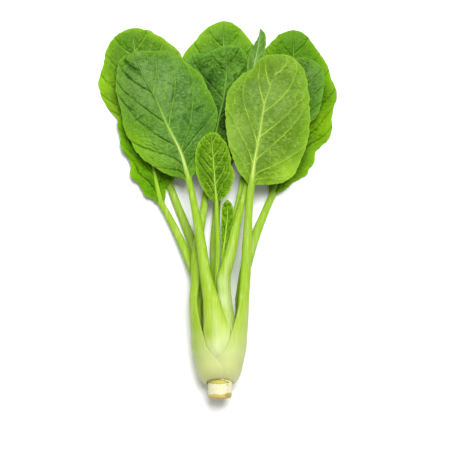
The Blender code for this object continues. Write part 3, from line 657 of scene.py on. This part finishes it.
def tint_of(spot, tones):
    """Soft patches of another green, some the blade's own tone and some painted sheen and painted shadow:
    the three parts of their colour, and their strength.
    """
    colour, strength = np.zeros((*spot.shape[:2], 3)), np.zeros(spot.shape[:2])
    for x, y, reach, text, full in tones:
        here = full * np.exp(-(((spot[..., 0] - x) ** 2 + (spot[..., 1] - y) ** 2) / reach**2))
        colour = colour * (1 - here[..., None]) + np.array(pigment(text)[:3]) * here[..., None]
        strength = strength * (1 - here) + here
    return np.moveaxis(colour / np.maximum(strength, 1e-4)[..., None], -1, 0), strength


def midrib(leaf, look, share):
    """Middle line of the midrib, the direction across it, its taper and its half width."""
    rib = trace(leaf.rib, share)
    after, before = np.minimum(share + STEP, 1), np.maximum(share - STEP, 0)
    ahead = trace(leaf.rib, after) - trace(leaf.rib, before)
    taper = (1 - share) ** RIB_TAPER * (1 - smoothstep((share - look.rib_end + 0.25) / 0.3))
    half = RIB_TIP + (RIB_SHARE * leaf.stalk[-1][3] - RIB_TIP) * taper
    return rib, to_right(ahead), taper, half * (1 - look.rib_thin * smoothstep(share / 0.3))


def off_line(phase):
    return np.abs(phase - np.round(phase))


def bulges(look, in_blade, spot, phase, spacing, net):
    """Height that veins, quilting and crumpling add, but for the midrib and the margin."""
    seed = look.seed
    ridge = bell(off_line(phase) * spacing / VEIN_HALF) * (1 - 0.7 * in_blade)
    patchy = np.clip(1 + 0.8 * slow_waves(spot, seed + 3, PATCH_LENGTH), 0.2, 2)
    puffed = look.puff * patchy * (smoothstep(net / (0.3 * look.net)) - 0.5)
    quilted = look.quilt * (np.sin(math.pi * off_line(phase)) ** 0.7 - 0.6)
    crumpled = look.crumple * slow_waves(spot, seed + 1, look.crumple_length)
    height = look.rise * ridge + quilted + puffed + crumpled
    for fold in look.folds:
        height -= fold[5] * crease(spot, fold)
    return height


def blade_grids(leaf, look, share, lanes):
    """Outer and inner face of the blade as grids of points, with what its colour needs to know."""
    up = 1 if leaf.face == 0 else -1
    thick = leaf.stalk[-1][4]
    rib, across, taper, rib_half = midrib(leaf, look, share)
    side = up * np.where(lanes > 0, 1, -1)
    in_blade = np.clip((np.abs(lanes) - RIB_LANES) / (1 - RIB_LANES), 0, 1)
    in_rib = np.clip(np.abs(lanes) / RIB_LANES, 0, 1)

    def by_side(left, right):
        return np.where((side > 0)[None], right, left)

    edge = rib[:, None, :2] + (rib_half[:, None] * side * in_rib)[..., None] * across[:, None]
    margins = [margin(leaf, look, s, share) for s in (-1, 1)]
    rim = np.stack([by_side(margins[0][:, k, None], margins[1][:, k, None]) for k in (0, 1)], -1)
    spot = edge + (rim - edge) * in_blade[None, :, None]
    phase = np.full(spot.shape[:2], 0.5)
    spacing = np.full(phase.shape, 20.0)
    for s, rows in ((-1, look.left), (1, look.right)):
        half = np.flatnonzero((side == s) & (np.abs(lanes) > RIB_LANES - SEAM))
        phase[:, half], spacing[:, half] = vein_lines(rows, share, in_blade[half], spot[:, half])
    net = net_gap(spot, look.net, look.seed + 7)

    down = share[:, None]
    bend = within(down, DROOP_FADE, DROOP_FADE)
    waves = by_side(ripple(leaf, -1, down), ripple(leaf, 1, down))
    z = rib[:, 2, None] - by_side(*leaf.droop) * in_blade**DROOP_SHAPE * bend
    z = z + leaf.wave * in_blade**2 * waves
    inside = within(in_blade, 0.12, 0.3) * smoothstep((1 - down) / 0.1)
    z = z + bulges(look, in_blade, spot, phase, spacing, net) * inside
    z = z + look.sway * slow_waves(spot, look.seed, SWAY_LENGTH) * smoothstep(in_blade / 0.4) * bend
    z = np.maximum(z, BLADE / 2 + 0.05)

    sheet = BLADE + (RIM_THICK - BLADE) * smoothstep(in_blade, RIM_START)
    flat = RIB_SHARE**2 + (1 - RIB_SHARE**2) * np.minimum(down / RIB_BLEND, 1)
    rise = (1 - np.where(in_blade > 0, 1, in_rib) ** 2 * flat) * (1 - in_blade)
    rise = np.clip(rise, 0, 1) ** STALK_SHAPE
    lift = sheet / 2 + (OUTER_SHARE * thick - BLADE / 2) * taper[:, None] * rise
    sink = sheet / 2 + ((1 - OUTER_SHARE) * thick - BLADE / 2) * (1 - down) ** UNDER_TAPER * rise
    middle = np.concatenate([spot, z[..., None]], -1)
    out = np.array([0, 0, up])

    to_rim = np.linalg.norm(rim - spot, axis=-1)
    flesh = 1 - smoothstep(in_blade / (0.016 + 0.014 * taper[:, None])) * smoothstep(down / 0.015)
    tint, tinted = tint_of(spot, look.tones)
    # how near each point lies to a fold's crease, for the painted shade there
    painted_fold_shade = np.max([0 * phase, *(crease(spot, fold) for fold in look.folds)], axis=0)
    uneven = np.clip(0.75 + 0.6 * slow_waves(spot, look.seed + 9, UNEVEN_LENGTH), 0.15, 1.2)
    facts = {
        "veins": (phase, spacing, look.vein_width * (1.25 - in_blade)),
        "net": (net, painted_fold_shade * inside, by_side(*look.shadow) * uneven),
        "place": (flesh, np.exp(-to_rim / look.glow)),
        "tint": tint,
        "spot": (tinted, np.exp(-to_rim / 0.5), by_side(*look.shine) * uneven),
        "span": (spot[..., 1], down, in_blade + in_rib - 1),
    }
    return middle + out * lift[..., None], middle - out * sink[..., None], facts


def as_rows(fact, shape):
    """The three parts of a fact, each a number or a grid, as one row for each point of a grid."""
    return np.stack([np.broadcast_to(part, shape).ravel() for part in fact], 1)


def stalk_facts(look, grid, lanes):
    """What the colour of a stalk needs to know, under the names that the blade has for it."""
    tint, tinted = tint_of(grid[..., :2], look.stalk_tones)
    return {
        "veins": (0.5, 20, 0),
        "net": (9, 0, 0),
        "place": (1, 0),
        "tint": tint,
        "spot": (tinted, 0, 0),
        "span": (grid[..., 1], 0, np.abs(lanes) - 1),
    }


def lane_sets(cells):
    """Lanes of the stalk, and lanes of the blade with the cells outside the midrib split further."""
    rib_cells, side_cells, split = cells
    rib = np.linspace(-RIB_LANES, RIB_LANES, rib_cells + 1)
    halves = []
    for n in (side_cells, side_cells * split):
        right = np.linspace(RIB_LANES, 1, n + 1)[1:]
        halves.append(np.concatenate([-right[::-1], rib, right]))
    return halves


def leaf_mesh(order, look):
    """One closed mesh of a whole leaf, from its foot on the crown to the tip."""
    leaf = LEAVES[order]
    coarse, fine = lane_sets(look.cells)
    start, end = leaf.start, leaf.stalk[-1][0]
    foot = np.linspace(start, start + FOOT_RUN, FOOT_ROWS)[:-1]
    steps = round((end - start - FOOT_RUN) / STALK_STEP)
    y = np.concatenate([foot, np.linspace(start + FOOT_RUN, end, steps + 1)])
    share = np.linspace(0, 1, look.rings + 1)[1:]
    stalk = base_grids(order, y, coarse)
    *blade, blade_facts = blade_grids(leaf, look, share, fine)
    points, columns, index = [], {name: [] for name in blade_facts}, {}
    for k, face in enumerate(("outer", "inner")):
        under = (face == "outer") == (leaf.face != 0)
        for part, grid, facts in (
            ("stalk", stalk[k], stalk_facts(look, stalk[k], coarse)),
            ("blade", blade[k], blade_facts),
        ):
            shape = grid.shape[:2]
            index[face, part] = sum(len(p) for p in points) + np.arange(shape[0] * shape[1]).reshape(shape)
            points.append(grid.reshape(-1, 3))
            for name, fact in {**facts, "place": (*facts["place"], under)}.items():
                columns[name].append(as_rows(fact, shape))
    faces = []
    for face in ("outer", "inner"):
        turn = slice(None) if face == "outer" else slice(None, None, -1)
        for part in ("stalk", "blade"):
            g = index[face, part]
            quads = np.stack([g[:-1, :-1], g[:-1, 1:], g[1:, 1:], g[1:, :-1]], -1).reshape(-1, 4)
            faces += quads[:, turn].tolist()
        last, first = index[face, "stalk"][-1], index[face, "blade"][0]
        cuts = np.searchsorted(fine, coarse - SEAM)
        for j in range(len(coarse) - 1):
            ring = [last[j], last[j + 1], *first[cuts[j] : cuts[j + 1] + 1][::-1]]
            faces.append([int(v) for v in ring][turn])
    loops = []
    for face in ("outer", "inner"):
        s, b = index[face, "stalk"], index[face, "blade"]
        loops.append(np.concatenate([s[0], s[1:, -1], b[:, -1], b[-1, -2::-1], b[-2::-1, 0], s[:0:-1, 0]]))
    top, bottom = loops
    faces += np.stack([np.roll(top, -1), top, bottom, np.roll(bottom, -1)], 1).tolist()
    return np.concatenate(points), faces, {name: np.concatenate(rows) for name, rows in columns.items()}


def add_piece(name, points, faces, facts, slot, material, sharp):
    """A mesh object in metres, which rides on the head and stands for the CAD node of its name."""
    points = np.clip(points - ORIGIN, *(np.array([list(v) for v in CAD_BOX]) / MM))
    mesh = bpy.data.meshes.new(name + "_mesh")
    mesh.from_pydata((points * MM).tolist(), [], faces)
    for fact, rows in facts.items():
        layer = mesh.attributes.new(fact, "FLOAT_VECTOR", "POINT")
        layer.data.foreach_set("vector", np.ascontiguousarray(rows, np.float32).ravel())
    mesh.shade_smooth()
    mesh.set_sharp_from_angle(angle=math.radians(sharp))
    mesh.materials.append(material)
    obj = add_object(name + "_look", mesh)
    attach(obj, "root")
    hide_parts(name)


def pigment(text):
    """The base colour, linear, that looks like a hexadecimal colour under the light of this scene."""
    parts = [int(text[i : i + 2], 16) / 255 for i in (1, 3, 5)]
    seen = [p / 12.92 if p <= 0.04045 else ((p + 0.055) / 1.055) ** 2.4 for p in parts]
    return (*[max(p - GLOSS, 0.003) / BRIGHT for p in seen], 1.0)


class Ink:
    """Short ways to add and link the nodes of one material."""

    def __init__(self, name):
        self.material = bpy.data.materials.new(name)
        self.material.use_nodes = True
        self.tree = self.material.node_tree

    def put(self, socket, value):
        if hasattr(value, "links"):
            self.tree.links.new(value, socket)
        else:
            socket.default_value = value

    def fill(self, node, inputs):
        """Sets a node's inputs, in whose names _ stands for a space."""
        for name, value in inputs.items():
            self.put(node.inputs[name.replace("_", " ")], value)
        return node

    def node(self, kind, **inputs):
        return self.fill(self.tree.nodes.new("ShaderNode" + kind), inputs)

    def coat(self, **inputs):
        self.fill(self.tree.nodes["Principled BSDF"], inputs)

    def raw(self, name):
        node = self.node("Attribute")
        node.attribute_name = name
        return node.outputs["Vector"]

    def fact(self, name):
        return self.node("SeparateXYZ", Vector=self.raw(name)).outputs

    def math(self, operation, a, b=0.0, clamp=False):
        node = self.node("Math")
        node.operation = operation
        node.use_clamp = clamp
        self.put(node.inputs[0], a)
        self.put(node.inputs[1], b)
        return node.outputs[0]

    def plus(self, a, b):
        return self.math("ADD", a, b)

    def minus(self, a, b):
        return self.math("SUBTRACT", a, b)

    def times(self, product, *others):
        for other in others:
            product = self.math("MULTIPLY", product, other)
        return product

    def over(self, base, colour, *shares):
        """The base with a colour laid over it, as strongly as the product of the shares."""
        node = self.node("Mix")
        node.data_type = "RGBA"
        node.clamp_factor = True
        self.put(node.inputs["Factor"], self.times(*shares))
        for socket, value in ((node.inputs[6], base), (node.inputs[7], colour)):
            self.put(socket, pigment(value) if isinstance(value, str) else value)
        return node.outputs[2]

    def layers(self, tone, *rows):
        """The tone with colours laid over it in turn, from rows of a colour and its shares."""
        for colour, *shares in rows:
            tone = self.over(tone, colour, *shares)
        return tone

    def noise(self, scale, detail=3.0, stretch=None):
        place = self.node("TexCoord").outputs["Object"]
        if stretch:
            place = self.node("Mapping", Vector=place, Scale=stretch).outputs[0]
        return self.node("TexNoise", Vector=place, Scale=scale, Detail=detail).outputs["Fac"]

    def streaks(self, across, along, detail=2.0):
        """Noise drawn out along y: how often it changes in a metre across that line and along it."""
        return self.noise(1.0, detail, (across, along, across))

    def span(self, value, low, high):
        """0 where the value is low and 1 where it is high, smoothly."""
        node = self.node("MapRange", Value=value, From_Min=low, From_Max=high)
        node.interpolation_type = "SMOOTHSTEP"
        return node.outputs[0]

    def ramp(self, value, stops):
        node = self.node("ValToRGB", Fac=value)
        band = node.color_ramp
        while len(band.elements) < len(stops):
            band.elements.new(0.5)
        for element, (at, colour) in zip(band.elements, stops):
            element.position = at
            element.color = pigment(colour)
        return node.outputs[0]

    def bump(self, height, strength, distance):
        node = self.node("Bump", Height=height, Strength=strength, Distance=distance)
        self.coat(Normal=node.outputs[0])


def off_whole(ink, phase):
    """Signed distance of the phase from the nearest whole number."""
    return ink.minus(phase, ink.math("ROUND", phase))


def near_line(ink, away, width, soft):
    """1 on a vein and 0 beside it, from the distance to its middle and its half width."""
    gap = ink.minus(width, ink.math("ABSOLUTE", away))
    return ink.math("ADD", ink.math("DIVIDE", gap, soft), 0.5, clamp=True)


def stalk_colour(ink, along, across, pale_end, fibre):
    """Stalk flesh: nearly white at the foot, then lime, with green streaks, sides darkened as painted shade
    and pale edges.
    """
    higher = ink.span(along, 20.0, 90.0)
    fine = ink.plus(ink.times(higher, 0.15), 0.08)
    return ink.layers(
        ink.ramp(ink.math("DIVIDE", along, STALK_LENGTH), STALK_STOPS),
        ("#8cb92c", ink.span(ink.streaks(700, 16), 0.42, 0.72), higher, 0.55),
        ("#d9ea8c", ink.span(ink.streaks(420, 12), 0.5, 0.72), 0.35),
        ("#eef5cc", ink.span(across, -0.55, -0.95), ink.span(along, pale_end, pale_end - 40.0), 0.3),
        # painted shade: the stalk's sides darker, as where its round back turns from the light
        ("#86b428", ink.span(across, -0.45, -0.04), ink.span(along, 16.0, 110.0), 0.55),
        ("#9cc83a", ink.span(ink.streaks(190, 7), 0.45, 0.7), higher, 0.45),
        ("#8eb838", ink.span(fibre, 0.52, 0.7), fine),
        ("#e4f2ae", ink.span(fibre, 0.46, 0.32), fine),
        ("#e9e6a4", ink.span(across, -0.1, -0.01), ink.span(along, 66.0, 34.0), 0.45),
    )


def leaf_material(name, look):
    """Blade and flesh of a leaf, drawn from the facts that its points carry."""
    ink = Ink(name)
    deep, dark, light, rim_green, vein_green, rib_green = look.greens
    rib_end, rough = look.rib_end, look.rough
    phase, spacing, width = ink.fact("veins")
    net, painted_fold_shade, dark_line = ink.fact("net")
    flesh, rim, under = ink.fact("place")
    tinted, edge, light_line = ink.fact("spot")
    along, share, across = ink.fact("span")
    tint = ink.raw("tint")
    in_blade = ink.math("MAXIMUM", across, 0.0)

    away = ink.times(off_whole(ink, phase), spacing)
    vein = near_line(ink, away, width, 0.35)
    halo = near_line(ink, away, ink.times(width, 3.0), 3.0)
    beside = near_line(ink, ink.minus(away, 0.9), 0.5, 1.0)
    between = ink.times(off_whole(ink, ink.times(phase, 2.0)), spacing, 0.5)
    wander = ink.times(ink.minus(ink.noise(90, 2.0), 0.5), 5.0)
    branch = near_line(ink, ink.plus(between, wander), ink.times(width, 0.4), 0.5)
    fine_vein = ink.span(net, 0.4, 0.05)
    grain = ink.noise(430, 2.0)

    patchy = ink.noise(60)
    strong = ink.minus(1.15, ink.times(in_blade, 0.85))
    # painted shadow: a dark line beside each sunken side vein and beside the upper midrib, as in the shade
    # of their grooves
    painted_vein_shadows = ()
    if look.rise < 0:
        by_rib = ink.span(in_blade, 0.08, 0.02)
        upper = ink.span(share, rib_end - 0.15, rib_end)
        painted_vein_shadows = ((deep, beside, dark_line), (deep, by_rib, dark_line, upper))
    lamina = ink.layers(
        dark,
        (light, ink.span(ink.noise(26), 0.34, 0.66)),
        (deep, ink.span(ink.noise(170, 5.0), 0.42, 0.68), 0.4),
        (deep, ink.span(grain, 0.5, 0.72), 0.35 * rough),
        (vein_green, ink.span(grain, 0.45, 0.3), 0.16 * rough),
        # painted shade: the lamina darkens along the fine veins, in the hollows between the puffed cells
        (deep, ink.span(net, 0.9, 0.05), ink.span(patchy, 0.4, 0.62), look.hollow),
        (rim_green, rim, ink.plus(0.6, ink.times(patchy, 0.6))),
        (tint, tinted),
        (vein_green, halo, 0.25),
        (vein_green, fine_vein, ink.span(ink.noise(110, 2.0), 0.4, 0.6), 0.2 * rough),
        *painted_vein_shadows,
        (vein_green, branch, ink.span(ink.noise(50, 2.0), 0.4, 0.6), light_line, 0.55),
        # painted shade in the creases of the folds
        (deep, painted_fold_shade, 0.6),
        (vein_green, edge, 0.45),
        ("#9cc06a", under, 0.3),
        (vein_green, vein, light_line, strong),
    )
    fibre = ink.streaks(900, 70, 3.0)
    rib = ink.layers(
        stalk_colour(ink, along, across, look.pale_end, fibre),
        (rib_green, ink.span(share, 0.0, 0.12)),
        # painted shade: the midrib's sides greener and darker near the stalk, as on its rounded back
        (vein_green, ink.span(across, -0.7, -0.05), ink.span(share, 0.0, 0.2), 0.6),
        (tint, tinted, ink.span(share, 0.02, 0.0)),
        (vein_green, ink.span(share, rib_end - 0.45, rib_end - 0.1)),
        (ink.over(lamina, vein_green, 0.4), ink.span(share, rib_end - 0.15, rib_end + 0.03)),
    )
    dull = ink.plus(ink.times(ink.noise(160), 0.2), 0.4)
    ink.coat(
        Base_Color=ink.over(lamina, rib, flesh),
        Roughness=ink.minus(dull, ink.times(flesh, 0.06)),
        Specular_IOR_Level=ink.plus(ink.times(flesh, 0.05), look.gloss),
        Subsurface_Weight=0.1,
        Subsurface_Radius=(0.8, 1.0, 0.25),
        Subsurface_Scale=0.0015,
    )
    groove = 1.0 if look.rise > 0 else -1.0
    height = ink.minus(ink.times(halo, groove), ink.times(grain, 0.6))
    height = ink.minus(height, ink.times(fine_vein, 0.35))
    height = ink.times(height, ink.minus(1.0, flesh))
    ink.bump(ink.plus(height, ink.times(fibre, flesh, 0.35)), 0.8, 0.0007)
    return ink.material


def stub_mesh():
    """The cut stub and the crown as a closed turned body, with what its colour needs to know."""
    profile = np.array(STUB_PROFILE)
    runs = length_to(profile)
    shares = np.linspace(0, 1, STUB_RINGS + 1)[1:-1]
    r, y = (np.interp(shares, runs / runs[-1], column)[:, None] for column in profile.T)
    turned = np.linspace(-math.pi, math.pi, STUB_SIDES + 1)[None, :-1]
    lumps = slow_waves(np.stack([turned * 6 + 0 * y, y + 0 * turned], -1), 31, 14)
    radius = r * (1 + 0.02 * np.cos(2 * turned) - 0.03 * np.cos(3 * turned + 0.6))
    radius = radius + 0.16 * lumps * smoothstep(r / 4)
    radius = radius - 0.9 * smoothstep((4 - y) / 4) * np.maximum(np.sin(turned - 0.3), 0)
    y = y + smoothstep((1.2 - y) / 1.2) * (0.5 * np.sin(radius * np.cos(turned) / 5 + 1) + 0.35)
    from_scar = (radius * np.sin(turned) - SCAR_MIDDLE) / SCAR_HALF
    low, high = (place + bend * from_scar**2 for place, bend in zip(SCAR_Y, SCAR_BEND))
    inside = np.minimum(y - low, high - y)
    inside = inside * np.where(radius * np.cos(turned) > 0, 1, -1)  # the lower half is turned over
    radius = radius - SCAR_DEPTH * smoothstep(inside / 0.5)
    x, up = radius * np.sin(turned), radius * np.cos(turned)
    patch = np.hypot(*((a - b) / c for a, b, c in zip((x, y), PATCH_PLACE, PATCH_HALF)))
    patch = patch + np.where(up > 0, 0, 2)
    shift = STUB_SHIFT * smoothstep((20 - y) / 8)
    points = np.stack([AXIS_X + shift + x, y, AXIS_Z + up], -1).reshape(-1, 3)
    top, bottom = (AXIS_X, profile[0, 1], AXIS_Z), (AXIS_X + STUB_SHIFT, 0.5, AXIS_Z)
    facts = {
        "stub": [*as_rows((inside, y, patch), radius.shape), (-9.0, 30.0, 9.0), (-9.0, 0.3, 9.0)],
        "cut": [*as_rows((radius, 0, 0), radius.shape), (0, 0, 0), (0, 0, 0)],
    }
    rings, sides = radius.shape
    grid = np.arange(rings * sides).reshape(rings, sides)
    ahead = np.roll(grid, -1, 1)
    faces = np.stack([grid[1:], ahead[1:], ahead[:-1], grid[:-1]], -1).reshape(-1, 4).tolist()
    faces += [[int(a), int(b), rings * sides] for a, b in zip(grid[0], ahead[0])]
    faces += [[int(b), int(a), rings * sides + 1] for a, b in zip(grid[-1], ahead[-1])]
    return np.concatenate([points, [top, bottom]]), faces, facts


def stub_material():
    """Creamy skin with specks, a patch and a scar, and a cut face with a brown rim."""
    ink = Ink("stub_flesh_look")
    inside, y, patch = ink.fact("stub")
    from_axis = ink.fact("cut")[0]
    wobble = ink.minus(ink.noise(260, 4.0), 0.5)
    uneven_y = ink.plus(y, ink.times(wobble, 3.0))
    uneven_patch = ink.plus(patch, ink.times(wobble, 1.2))
    uneven_scar = ink.plus(inside, ink.times(wobble, 0.8))
    skin = ink.layers(
        "#eceab8",
        ("#f4f0cc", ink.span(ink.streaks(500, 60, 3.0), 0.4, 0.65)),
        ("#d8c46c", ink.span(uneven_y, 4.6, 3.2)),
        ("#d2bc68", ink.span(uneven_y, 3.0, 1.6)),
        ("#a5762f", ink.span(ink.noise(420, 4.0), 0.6, 0.72), 0.5),
        ("#b0913f", ink.span(uneven_patch, 1.1, 0.5), 0.7),
        ("#a89c48", ink.span(uneven_scar, -0.5, -0.1)),
        ("#ded05a", ink.span(uneven_scar, 0.15, 0.5)),
    )
    face = ink.over("#e4d2ab", "#d6bd8c", ink.span(ink.noise(500, 4.0), 0.35, 0.65))
    face = ink.over(face, "#b39a4c", ink.span(from_axis, 7.6, 8.3))
    ink.coat(
        Base_Color=ink.over(skin, face, ink.span(y, 1.5, 0.9)),
        Roughness=ink.plus(ink.times(ink.noise(300), 0.25), 0.4),
        Subsurface_Weight=0.15,
        Subsurface_Radius=(1.0, 0.8, 0.4),
        Subsurface_Scale=0.002,
    )
    ink.bump(ink.noise(700, 4.0), 0.4, 0.0004)
    return ink.material


def add_object(name, data):
    obj = bpy.data.objects.new(name, data)
    bpy.context.scene.collection.objects.link(obj)
    return obj


def add_floor():
    ink = Ink("floor_white")
    ink.coat(Base_Color=(0.94, 0.94, 0.94, 1), Roughness=0.7)
    mesh = bpy.data.meshes.new("floor_mesh")
    corners = [(x * FLOOR_REACH, y * FLOOR_REACH, 0) for x, y in ((-1, -1), (1, -1), (1, 1), (-1, 1))]
    mesh.from_pydata(corners, [], [(0, 1, 2, 3)])
    mesh.materials.append(ink.material)
    floor = add_object("floor", mesh)


def aim(obj, place, target):
    obj.location = place
    obj.rotation_euler = (target - place).to_track_quat("-Z", "Y").to_euler()


def add_lights():
    world = bpy.data.worlds.new("soft_white")
    world.use_nodes = True
    sky = world.node_tree.nodes["Background"].inputs
    sky["Color"].default_value = (1, 1, 1, 1)
    sky["Strength"].default_value = WORLD_LIGHT
    bpy.context.scene.world = world
    lamp = bpy.data.lights.new("key", "AREA")
    lamp.shape = "SQUARE"
    lamp.size = LAMP_SIZE
    lamp.energy = LAMP_POWER
    aim(add_object("key", lamp), Vector(LAMP_PLACE), Vector())


def add_camera():
    lens = bpy.data.cameras.new("camera")
    lens.lens = CAMERA_LENS
    lens.sensor_width = 36
    camera = add_object("camera", lens)
    steep = math.radians(CAMERA_ELEVATION)
    target = Vector(CAMERA_TARGET)
    aim(camera, target + CAMERA_DISTANCE * Vector((0, -math.cos(steep), math.sin(steep))), target)
    bpy.context.scene.camera = camera


for order, leaf in enumerate(LEAVES):
    look = Row(**{**USUAL_LOOK, **LOOKS[leaf.name], "seed": SEED + order})
    material = leaf_material(leaf.name + "_green", look)
    add_piece(leaf.name, *leaf_mesh(order, look), look.slot, material, 60)
add_piece("stem_base", *stub_mesh(), "stub_flesh", stub_material(), 40)
add_floor()
add_lights()
add_camera()
bpy.context.scene.view_settings.view_transform = "Standard"
